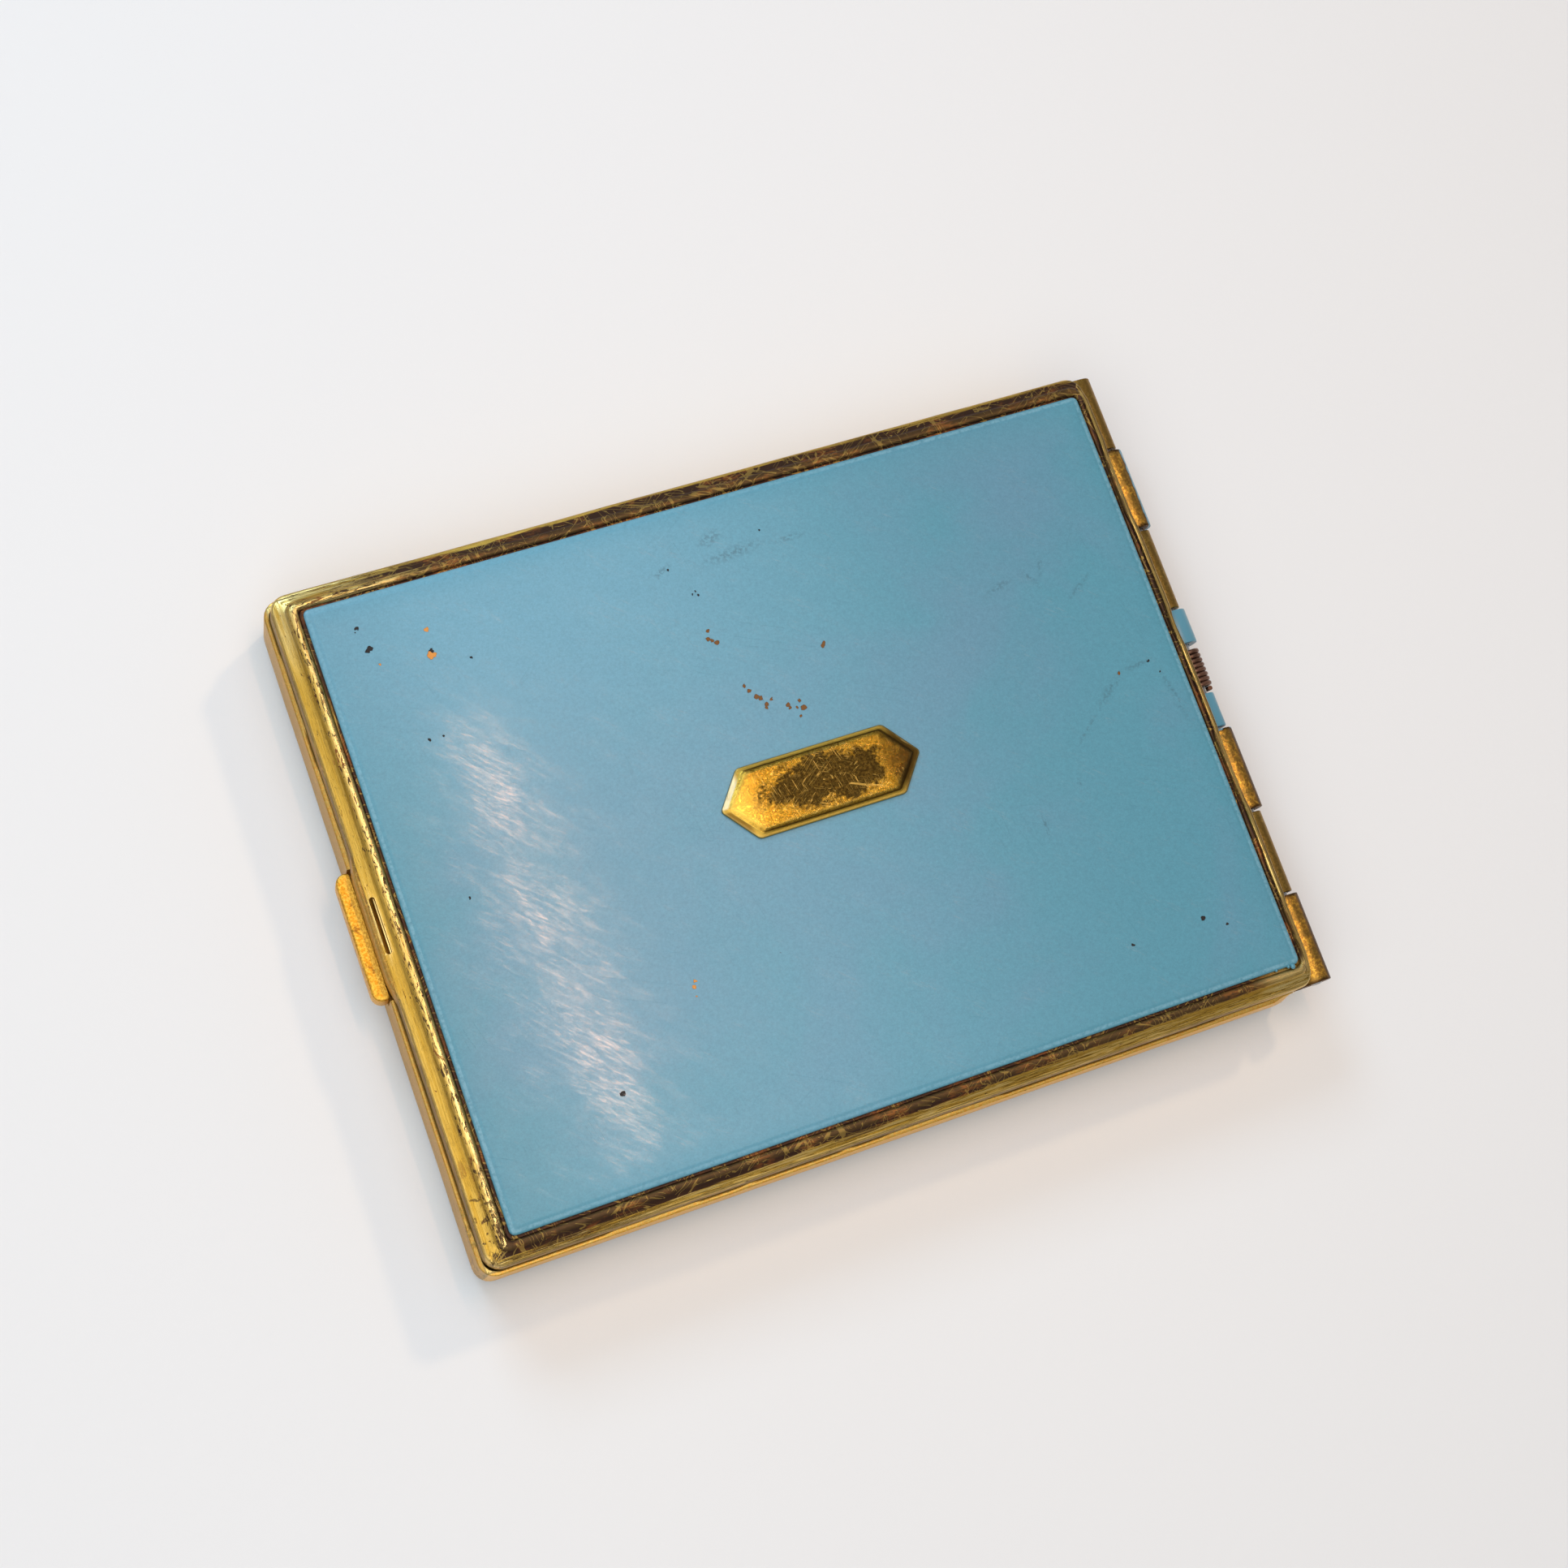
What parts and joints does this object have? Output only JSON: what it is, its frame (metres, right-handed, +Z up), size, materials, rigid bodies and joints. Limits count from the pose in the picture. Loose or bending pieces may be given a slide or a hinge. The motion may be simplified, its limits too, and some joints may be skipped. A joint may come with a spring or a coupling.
{
  "type": "hinged powder compact",
  "caption": "Flat rectangular brass powder compact with pale blue enamel panels, a hexagonal plaque, a thumb catch, a mirror, a sifter and a puff.",
  "frame": {"origin": "centre of the case's plan on the flat face that the closed case lies on", "axes": "+X from the thumb catch to the hinge along the case's length, +Y along its short side, +Z up out of the lid"},
  "size_m": [0.0773, 0.0578, 0.0105],
  "materials": {
    "lid_brass": "worn gilt brass, matt gold with brown tarnish",
    "lid_enamel": "satin pale blue enamel with fine scratches and small chips",
    "plaque_brass": "polished brass, darkened in the middle",
    "inner_brass": "bright gilt brass, little worn",
    "mirror_glass": "silvered glass",
    "card": "plain brown card",
    "base_brass": "grainy orange-gold brass, tarnished along its edges",
    "base_enamel": "satin pale blue enamel, rubbed where it rests",
    "hinge_brass": "grainy orange-gold brass with brown edges",
    "steel": "dull steel wire",
    "spring_steel": "dark brown spring steel",
    "gauze": "fine woven gauze",
    "puff_velour": "short pink velour pile",
    "ribbon_satin": "dusky pink satin",
    "door_brass": "bright gilt brass with fine hairlines"
  },
  "bodies": {
    "base": {"base_frame": "base_brass", "base_panel": "base_enamel", "base_hinge_leaf": "hinge_brass", "hinge_pin": "steel", "hinge_spring": "spring_steel", "powder_well": "inner_brass", "sifter_frame": "inner_brass", "sifter_gauze": "gauze", "powder_puff": "puff_velour", "puff_ribbon": "ribbon_satin", "well_hinge_leaf": "inner_brass", "door_pin": "steel", "catch_spring": "spring_steel"},
    "lid": {"lid_frame": "lid_brass", "lid_panel": "lid_enamel", "plaque": "plaque_brass", "lid_hinge_leaf": "lid_brass", "mirror_bezel": "inner_brass", "mirror": "mirror_glass", "mirror_card": "card", "catch_keeper": "inner_brass"},
    "inner_lid": {"powder_door": "door_brass"},
    "catch": {"catch_button": "hinge_brass"}
  },
  "joints": [
    {"name": "lid_hinge", "type": "hinge", "parent": "base", "child": "lid", "pos_m": [0.0376, 0, 0.0067], "axis": [0, 1, 0], "range_deg": [0, 115]},
    {"name": "inner_lid_hinge", "type": "hinge", "parent": "base", "child": "inner_lid", "pos_m": [0.03155, 0, 0.00555], "axis": [0, 1, 0], "range_deg": [0, 70]},
    {"name": "catch_press", "type": "slide", "parent": "base", "child": "catch", "axis": [1, 0, 0], "range_m": [0, 0.0008], "stiffness_N_per_m": 2000, "deforming": ["catch_spring"]}
  ],
  "couplings": [
    {"joint": "inner_lid_hinge", "follows": "lid_hinge", "ratio": 0.6}
  ]
}
